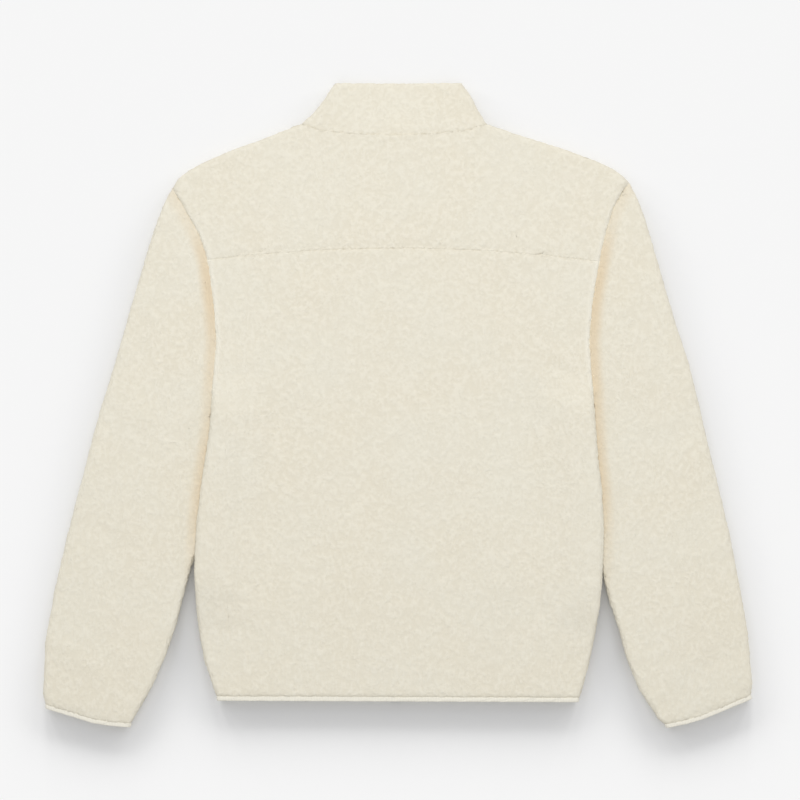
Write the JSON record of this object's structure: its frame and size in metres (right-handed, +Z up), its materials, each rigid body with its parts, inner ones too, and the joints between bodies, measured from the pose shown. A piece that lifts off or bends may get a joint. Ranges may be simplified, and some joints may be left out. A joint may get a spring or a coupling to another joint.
{
  "type": "fleece jacket",
  "caption": "Curly pile fleece jacket laid flat with its back up: stand collar, arched yoke seam, set-in sleeves, full-length front zip and narrow elastic binding at hem and cuffs.",
  "frame": {"origin": "centre of the bounding box's bottom face, on the surface that the jacket lies on", "axes": "+Z up off the surface, towards the jacket's back; +Y from hem to collar; +X to the wearer's right as the garment lies face down with its collar away from the viewer, which is the picture's right"},
  "size_m": [0.8169, 0.7424, 0.0226],
  "materials": {
    "fleece": "curly cream pile, matt with a soft sheen",
    "elastic": "smooth knitted elastic binding, matt",
    "zip_tape": "woven tape, matt",
    "zip_teeth": "moulded plastic, satin",
    "zip_metal": "cast metal, satin"
  },
  "bodies": {
    "jacket": {"back_yoke": "fleece", "back_panel": "fleece", "front_left": "fleece", "front_right": "fleece", "sleeve_left": "fleece", "sleeve_right": "fleece", "collar": "fleece", "hem_binding": "elastic", "cuff_binding_left": "elastic", "cuff_binding_right": "elastic", "zip_tape_left": "zip_tape", "zip_tape_right": "zip_tape", "zip_teeth_left": "zip_teeth", "zip_teeth_right": "zip_teeth", "zip_slider": "zip_metal"},
    "pull": {"zip_pull": "zip_metal"}
  },
  "joints": [
    {"name": "pull_hinge", "type": "hinge", "parent": "jacket", "child": "pull", "pos_m": [0, 0.289, 0.00175], "axis": [1, 0, 0], "range_deg": [0, 180]}
  ]
}
